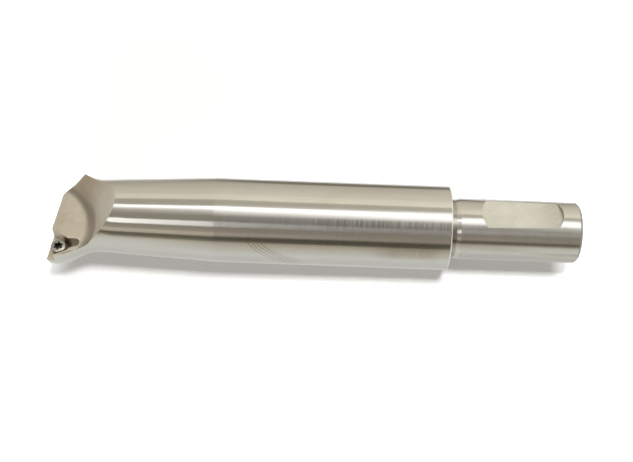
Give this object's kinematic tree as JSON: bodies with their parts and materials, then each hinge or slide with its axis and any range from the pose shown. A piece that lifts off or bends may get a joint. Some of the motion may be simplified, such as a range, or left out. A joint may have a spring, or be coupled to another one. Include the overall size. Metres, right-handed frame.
{
  "type": "boring bar",
  "caption": "Boring bar with a round shank, clamping flat and tapered body; its stepped head has a chip gullet and an empty triangular insert seat with the insert screw.",
  "frame": {"origin": "centre of the shank's end face", "axes": "+X out of the shank's end along the bar's axis, so that the head points to -X; +Z out of the rake side, where the chip gullet and the insert seat open; the cutting corner of the seat lies towards -Y"},
  "size_m": [0.1558, 0.0272, 0.0272],
  "materials": {
    "bar_steel": "turned and ground bare tool steel",
    "screw_steel": "bright steel"
  },
  "bodies": {
    "bar": {"bar_body": "bar_steel"},
    "screw": {"insert_screw": "screw_steel"}
  },
  "joints": [
    {"name": "insert_screw_travel", "type": "slide", "parent": "bar", "child": "screw", "axis": [0, 0, 1], "range_m": [0, 0.0051]}
  ]
}
